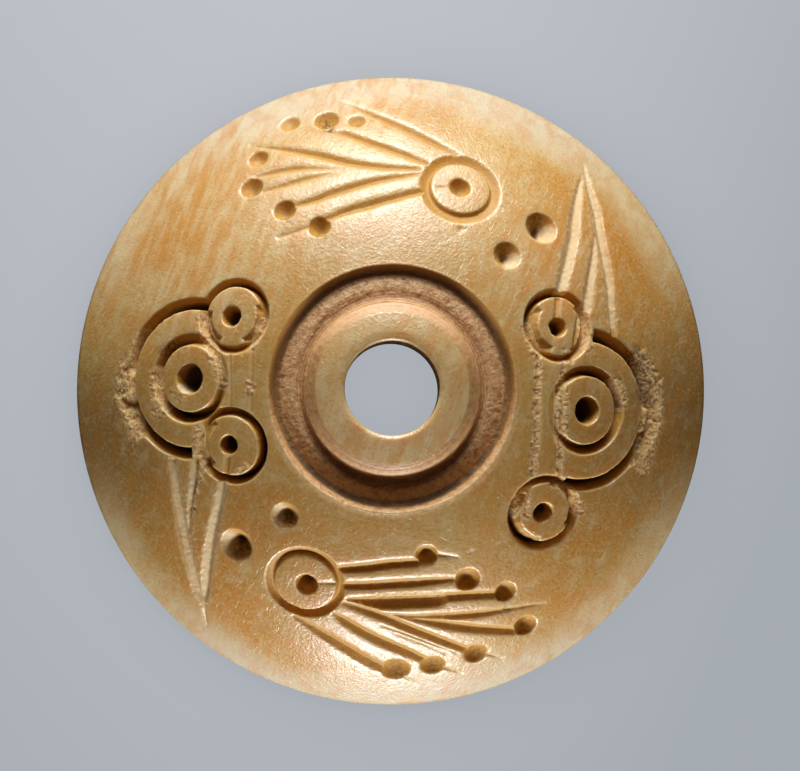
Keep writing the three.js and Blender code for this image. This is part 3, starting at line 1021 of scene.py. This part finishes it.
def with_cuts(finish, maps, colours, colour):
    """Lays the carving's colour over the rest: golden crumbs where it is gritty, painted light in
    cream on the lit halves of four big cones and partly on the long rays, else painted shade
    that goes warm orange, then browner and near black with depth, a painted highlight in
    cream along the lips, and lodged dirt with painted shadow over its patches."""
    step, blend = finish.step, finish.blend
    depth, sunk, grit, speck = maps.depth, maps.sunk, maps.grit, maps.speck
    crumb = blend(step(finish.noise(maps.place, 6000, 3.0, 0.7), 0.36, 0.54),
                  colours.rust, colours.crumb)
    colour = blend(grit * 0.8, colour, crumb)
    lit_pit_halves = spots(finish, maps.plan, LIT_PIT_HALVES)
    # Painted shade: the cuts take the warm orange of shaded, translucent bone, except in grit and
    # the lit cone halves.
    cut_shade = sunk * step(grit, 0.45, 0.15) * (1 - lit_pit_halves)
    colour = blend(cut_shade * 0.88, colour, colours.amber_shade)
    # Partly painted light: cream over the long rays' cuts stands for their lit facets, over their
    # crumbly grain.
    rays = sunk * step(grit, 0.12, 0.28) * step(grit, 0.62, 0.48)
    colour = blend((rays + lit_pit_halves * sunk) * 0.6, colour, colours.cream)
    colour = blend(cut_shade * step(speck, 0.52, 0.68) * 0.35, colour, colours.brown)
    # Painted shade: the cuts go browner and then near black with depth, less in grit and the lit
    # cone halves.
    clean = (1 - lit_pit_halves) * (1 - grit * 0.6)
    colour = blend(step(depth, 0.26, 0.52) * clean * 0.45, colour, colours.brown)
    colour = blend(step(depth, 0.42, 0.80) * clean * 0.85, colour, colours.deep_shade)
    # Painted highlight: cream along the lips of the cuts, where their rounded edges catch the
    # light.
    colour = blend(maps.lip * (1 - sunk) * 0.35, colour, colours.cream)
    # Lodged dirt, and painted shadow where the patches lie on shaded cones and beside the right
    # great ring.
    return blend(maps.stain_and_shadow * step(speck, 0.40, 0.56) * 0.8, colour, colours.residue_and_shadow)


def bone(colours):
    """Old bone, polished on the dome and rougher in the groove, the crumbled edges and the cuts,
    with light scattered under its surface, red furthest."""
    finish = Finish("Aged bone")
    maps = bone_maps(finish)
    colour = dome_colour(finish, maps, colours)
    colour = with_groove(finish, maps, colours, colour)
    colour = with_cuts(finish, maps, colours, colour)
    mottle, speck, fine, grit, groove = maps.mottle, maps.speck, maps.fine, maps.grit, maps.groove
    torn = groove * (1 - maps.bevel)
    gloss = (0.23 + mottle * 0.14 + speck * 0.08 + torn * 0.30 + maps.bevel * groove * 0.22
             + grit * 0.30 + maps.sunk * 0.30 + maps.stain_and_shadow * 0.5)
    relief = (fine * 0.18 + speck * 0.45 + mottle * 0.6 - maps.scratch * 0.14 + maps.grain * 0.10
              + (torn + grit) * (speck + fine) * 0.5 + groove * maps.turning * 0.6)
    bump = finish.node("ShaderNodeBump", sockets={"Height": relief, "Strength": 1.0,
                                                  "Distance": 0.000045})
    finish.feed(Base_Color=colour, Roughness=gloss, Normal=bump, IOR=1.5,
                Specular_IOR_Level=1.0, Subsurface_Weight=0.5,
                Subsurface_Radius=(1.0, 0.62, 0.36), Subsurface_Scale=0.0007)
    return finish.material


# --- the panel's values ---


def length(name, description, millimetres, **limits):
    return FloatProperty(name=name, description=description, default=millimetres * MM,
                         unit="LENGTH", precision=5, **limits)


def tone(name, description, colour):
    return FloatVectorProperty(name=name, description=description, default=colour, size=4,
                               subtype="COLOR", min=0, max=1)


class WhorlSizes(bpy.types.PropertyGroup):
    radius: length("Radius", "Half the whorl's width", HIGH.x / MM)
    dome_radius: length("Dome radius", "Radius of the sphere that the dome is part of", 16.5)
    edge_round: length("Edge", "Rounding between the dome and the underside", 0.7)
    bore_radius: length("Bore", "Half the width of the spindle hole", 2.1)
    collar_top: length("Collar", "Height of the collar's top", HIGH.z / MM)
    spacing: length("Row spacing", "Distance between rows of the carved surface", 0.05)
    columns: IntProperty(name="Columns", description="Columns round the axis", default=1400)
    keep: FloatProperty(name="Kept faces", description="Share of faces kept after thinning",
                        default=0.195, subtype="FACTOR", min=0.01, max=1)


class WhorlColours(bpy.types.PropertyGroup):
    honey: tone("Honey", "Main colour of the polished bone", (0.66, 0.36, 0.08, 1))
    tan: tone("Tan", "Paler clouds in the bone", (0.73, 0.465, 0.14, 1))
    ochre: tone("Ochre", "Orange patches", (0.72, 0.31, 0.045, 1))
    olive: tone("Olive", "Greenish middle of the dome", (0.62, 0.4, 0.125, 1))
    # Cream is also painted light on the lit outer edge, the land, the lips, the long rays and four
    # cone halves.
    cream: tone("Cream", "Pale edge and flecks", (0.88, 0.7, 0.4, 1))
    # Brown is also painted shade on the bevel's sides, low on either side of the dome and in
    # deeper cuts.
    brown: tone("Brown", "Dark streaks of the grain", (0.34, 0.155, 0.032, 1))
    rust: tone("Rust", "Stained fibres in the groove", (0.5, 0.2, 0.042, 1))
    # Pink is also painted light on the collar's bevel at top and bottom.
    pink: tone("Pink", "Pale fibres and crumbled bone", (0.92, 0.54, 0.25, 1))
    # Painted shade on the groove's outer slope, deepest run and lower floor.
    umber_shade: tone("Umber", "Stained walls of the groove", (0.34, 0.135, 0.014, 1))
    # Painted light on the outer edge at top and bottom, where the lamps light it.
    lit_rim: tone("Rim", "Pale worn edge at either end of the carving", (0.8, 0.69, 0.52, 1))
    crumb: tone("Crumb", "Golden grains of crumbled bone", (0.9, 0.6, 0.25, 1))
    # Painted shade down in the cuts and on the groove's upper outer slope.
    amber_shade: tone("Amber", "Bone seen down in the cuts", (0.64, 0.31, 0.022, 1))
    # Lodged dirt, and painted shadow in some patches.
    residue_and_shadow: tone("Residue", "Dirt lodged in the carving", (0.11, 0.038, 0.01, 1))
    # Painted shade in the deepest cuts and in the groove's deepest run towards -Y.
    deep_shade: tone("Dark", "Residue in the deepest cuts", (0.05, 0.018, 0.005, 1))


# --- operators ---


class WHORL_OT_body(bpy.types.Operator):
    """Turn and carve the whorl, in the place of its solid"""

    bl_idname = "whorl.body"
    bl_label = "Whorl"

    def execute(self, context):
        sizes = context.scene.whorl_sizes
        form = turned_form(sizes)
        spot, masks = carved_whorl(form)
        mesh = grid_mesh("carved whorl", spot)
        write_masks(mesh, masks)
        mesh.materials.append(bone(context.scene.whorl_colours))
        whorl = bpy.data.objects.new(WHORL, mesh)
        context.scene.collection.objects.link(whorl)
        thin = whorl.modifiers.new("Thin", "DECIMATE")
        thin.ratio = sizes.keep
        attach(whorl, BODY)
        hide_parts(NODE)
        return {"FINISHED"}


class WHORL_OT_stage(bpy.types.Operator):
    """Set the pale table, the soft lights and the camera over the whorl"""

    bl_idname = "whorl.stage"
    bl_label = "Stage"

    def execute(self, context):
        lay_table(context.scene)
        hang_lights(context.scene, bpy.data.objects[WHORL])
        set_camera(context.scene)
        return {"FINISHED"}


TABLE_HALF = 0.9
FADE = 0.017
FADE_END = 1.5
CONTACT_REACH = 0.003
LAMP_AWAY = 0.3
AIM = (0.42 * MM, 0.24 * MM, 1 * MM)


def fade_along(finish, place, axis):
    """How many fades from the middle along an axis, held within FADE_END either way."""
    fades = finish.node("ShaderNodeSeparateXYZ", sockets={"Vector": place}, output=axis) / FADE
    return fades.math("MAXIMUM", -FADE_END).math("MINIMUM", FADE_END)


def lay_table(scene):
    """A pale table that glows by itself: with x and y in fades, its light is
    1 + y / 2 - 0.3 x - x^2 / 2, a painted fall of light, less where the whorl stands close, as
    a painted contact shadow, and mixes two greys."""
    corners = [(-TABLE_HALF, -TABLE_HALF, 0), (TABLE_HALF, -TABLE_HALF, 0),
               (TABLE_HALF, TABLE_HALF, 0), (-TABLE_HALF, TABLE_HALF, 0)]
    mesh = bpy.data.meshes.new("table")
    mesh.from_pydata(corners, [], [(0, 1, 2, 3)])
    finish = Finish("Pale table")
    place = finish.place()
    across, upward = fade_along(finish, place, "X"), fade_along(finish, place, "Y")
    light = upward * 0.5 - across * 0.3 - across * across * 0.5 + 1.0
    # Painted contact shadow: the glow is lowered where the whorl stands close.
    openness = finish.node("ShaderNodeAmbientOcclusion", {"samples": 8},
                           {"Distance": CONTACT_REACH}, output="AO")
    light = light - (1 - openness) * 1.2
    glow = finish.blend(light * 0.5, (0.38, 0.408, 0.445, 1), (0.56, 0.58, 0.615, 1))
    finish.feed(Base_Color=(0.02, 0.02, 0.02, 1), Roughness=0.9, Emission_Color=glow,
                Emission_Strength=1.0, Specular_IOR_Level=0.0)
    mesh.materials.append(finish.material)
    table = bpy.data.objects.new("table", mesh)
    scene.collection.objects.link(table)
    table.visible_diffuse = False
    table.visible_glossy = False


def soft_light(scene, name, turn, rise, size, power, lit):
    """A soft box turned towards the whorl from a compass angle and a height angle in degrees,
    which lights only the things it is given."""
    turn, rise = math.radians(turn), math.radians(rise)
    toward = Vector((math.cos(turn) * math.cos(rise), math.sin(turn) * math.cos(rise),
                     math.sin(rise)))
    data = bpy.data.lights.new(name, "AREA")
    data.shape = "RECTANGLE"
    data.size, data.size_y = size
    data.energy = power
    lamp = bpy.data.objects.new(name, data)
    lamp.location = Vector((0, 0, HIGH.z / 2)) + toward * LAMP_AWAY
    lamp.rotation_mode = "QUATERNION"
    lamp.rotation_quaternion = toward.to_track_quat("Z", "Y")
    lamp.visible_camera = False
    receivers = bpy.data.collections.new(name + " lights")
    receivers.objects.link(lit)
    lamp.light_linking.receiver_collection = receivers
    scene.collection.objects.link(lamp)


def hang_lights(scene, whorl):
    """Soft boxes low over +Y and, lower and weaker, over -Y, so that the carving's walls catch
    the light."""
    world = bpy.data.worlds.new("Studio")
    world.use_nodes = True
    world.node_tree.nodes["Background"].inputs["Color"].default_value = (0.9, 0.95, 1.0, 1)
    world.node_tree.nodes["Background"].inputs["Strength"].default_value = 0.015
    scene.world = world
    scene.view_settings.view_transform = "Standard"
    soft_light(scene, "key", 93, 12, (0.24, 0.12), 0.57, whorl)
    soft_light(scene, "sheen", 90, 22, (0.11, 0.03), 0.35, whorl)
    soft_light(scene, "upper key", 92, 31, (0.16, 0.08), 0.32, whorl)
    soft_light(scene, "low fill", 272, 3.5, (0.13, 0.045), 0.82, whorl)
    soft_light(scene, "low sheen", 266, 1.5, (0.05, 0.02), 0.14, whorl)


def set_camera(scene):
    """Looks down on the whorl with a long lens, from a degree or so off its axis."""
    data = bpy.data.cameras.new("camera")
    data.lens = LENS
    data.sensor_width = SENSOR
    data.clip_end = 10
    camera = bpy.data.objects.new("camera", data)
    camera.rotation_euler = (LEAN_Y, -LEAN_X, 0)
    away = camera.rotation_euler.to_matrix() @ Vector((0, 0, CAMERA_AWAY * MM))
    camera.location = Vector(AIM) + away
    scene.collection.objects.link(camera)
    scene.camera = camera


class WHORL_PT_panel(bpy.types.Panel):
    bl_idname = "WHORL_PT_panel"
    bl_label = "Bone spindle whorl"
    bl_space_type = "VIEW_3D"
    bl_region_type = "UI"
    bl_category = "Whorl"

    def draw(self, context):
        for group in (context.scene.whorl_sizes, context.scene.whorl_colours):
            box = self.layout.box()
            for name in group.__annotations__:
                box.prop(group, name)
        for operator in OPERATORS:
            self.layout.operator(operator.bl_idname)


OPERATORS = (WHORL_OT_body, WHORL_OT_stage)
CLASSES = (WhorlSizes, WhorlColours, *OPERATORS, WHORL_PT_panel)


def register():
    for cls in CLASSES:
        bpy.utils.register_class(cls)
    bpy.types.Scene.whorl_sizes = PointerProperty(type=WhorlSizes)
    bpy.types.Scene.whorl_colours = PointerProperty(type=WhorlColours)


def unregister():
    del bpy.types.Scene.whorl_colours
    del bpy.types.Scene.whorl_sizes
    for cls in reversed(CLASSES):
        bpy.utils.unregister_class(cls)


def main():
    register()
    bpy.ops.whorl.body()
    bpy.ops.whorl.stage()


if __name__ == "__main__":
    main()
